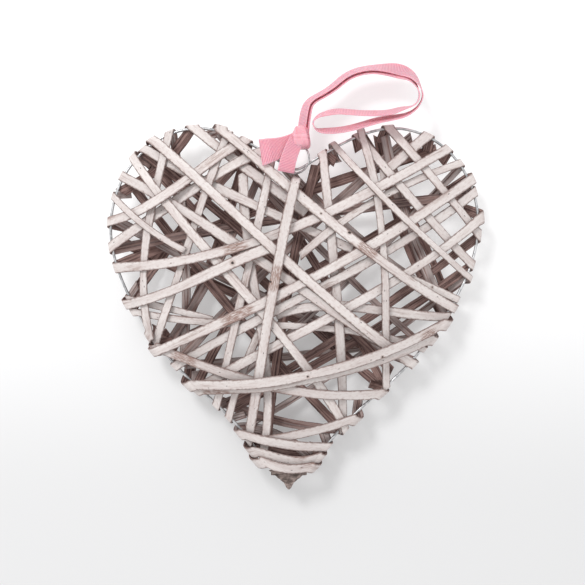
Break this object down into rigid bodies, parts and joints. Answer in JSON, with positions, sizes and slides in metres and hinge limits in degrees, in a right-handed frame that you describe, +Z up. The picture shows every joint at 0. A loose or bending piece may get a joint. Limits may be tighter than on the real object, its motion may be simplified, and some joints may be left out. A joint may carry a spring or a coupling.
{
  "type": "willow heart hanging decoration",
  "caption": "Puffy open heart of whitewashed split willow laths wound over a wire frame, with a wire ring and a knotted pink ribbon loop for hanging, lying on its back.",
  "frame": {"origin": "on the floor under the middle of the whole part's box, with the heart lying on its back", "axes": "+Z up, out of the heart's front; +Y from the heart's tip to its notch and ribbon"},
  "size_m": [0.248, 0.2814, 0.0483],
  "materials": {
    "whitewashed_willow": "matt whitewash with grain and dark specks",
    "brown_willow": "matt dark bark",
    "galvanised_wire": "dull zinc",
    "pink_ribbon": "ribbed grosgrain"
  },
  "bodies": {
    "root": {"willow_lath_01": "whitewashed_willow", "willow_lath_02": "whitewashed_willow", "willow_lath_03": "whitewashed_willow", "willow_lath_04": "whitewashed_willow", "willow_lath_05": "whitewashed_willow", "willow_lath_06": "whitewashed_willow", "willow_lath_07": "whitewashed_willow", "willow_lath_08": "whitewashed_willow", "willow_lath_09": "whitewashed_willow", "willow_lath_10": "whitewashed_willow", "willow_lath_11": "whitewashed_willow", "willow_lath_12": "whitewashed_willow", "willow_lath_13": "whitewashed_willow", "willow_lath_14": "whitewashed_willow", "willow_lath_15": "whitewashed_willow", "willow_lath_16": "whitewashed_willow", "willow_lath_17": "whitewashed_willow", "willow_lath_18": "whitewashed_willow", "willow_lath_19": "whitewashed_willow", "willow_lath_20": "whitewashed_willow", "willow_lath_21": "whitewashed_willow", "willow_lath_22": "whitewashed_willow", "willow_lath_23": "whitewashed_willow", "willow_lath_24": "whitewashed_willow", "willow_lath_25": "whitewashed_willow", "willow_lath_26": "whitewashed_willow", "willow_lath_27": "whitewashed_willow", "willow_lath_28": "whitewashed_willow", "willow_lath_29": "whitewashed_willow", "willow_lath_30": "whitewashed_willow", "willow_lath_31": "whitewashed_willow", "willow_lath_32": "whitewashed_willow", "willow_lath_33": "whitewashed_willow", "willow_lath_34": "whitewashed_willow", "willow_lath_35": "whitewashed_willow", "willow_lath_36": "whitewashed_willow", "willow_lath_37": "whitewashed_willow", "willow_lath_38": "whitewashed_willow", "wire_heart": "galvanised_wire", "hanging_ring": "galvanised_wire", "tip_wrap": "brown_willow", "ribbon": "pink_ribbon"}
  },
  "joints": []
}
